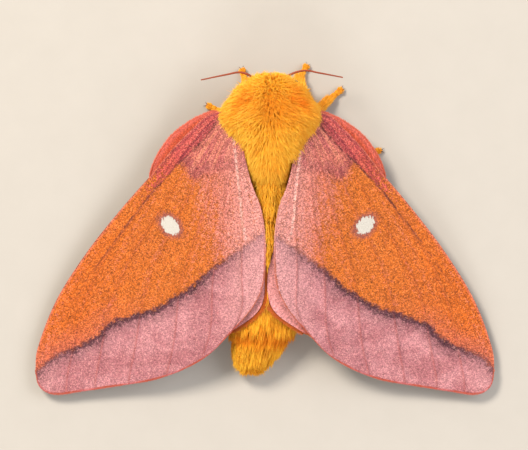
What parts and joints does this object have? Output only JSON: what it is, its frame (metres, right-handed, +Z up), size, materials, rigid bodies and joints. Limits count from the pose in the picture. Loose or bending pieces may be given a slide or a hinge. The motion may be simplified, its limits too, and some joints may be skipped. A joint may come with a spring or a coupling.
{
  "type": "pink-striped oakworm moth",
  "caption": "Still life-size moth at rest: orange wings spread like a low roof, each with a pink band and a white spot, shaggy golden body, bare feelers.",
  "frame": {"origin": "centre of the bounding box on the floor, under the middle of the moth", "axes": "+X towards the moth's own left wing, -Y towards its head, +Z up from the floor"},
  "size_m": [0.0406, 0.029, 0.0095],
  "materials": {
    "fur": "matt long golden orange hair scales",
    "forewing": "matt wing scales, speckled orange, with a rose pink band at the margin",
    "hindwing": "matt wing scales, salmon red",
    "leg": "short matt orange hair scales",
    "antenna": "bare rust red joints",
    "eye": "glossy black facets"
  },
  "bodies": {
    "root": {"thorax": "fur", "head": "fur", "abdomen": "fur", "eye_left": "eye", "eye_right": "eye", "antenna_left": "antenna", "antenna_right": "antenna", "forewing_left": "forewing", "forewing_right": "forewing", "hindwing_left": "hindwing", "hindwing_right": "hindwing", "foreleg_left": "leg", "foreleg_right": "leg", "midleg_left": "leg", "midleg_right": "leg", "hindleg_left": "leg", "hindleg_right": "leg"}
  },
  "joints": []
}
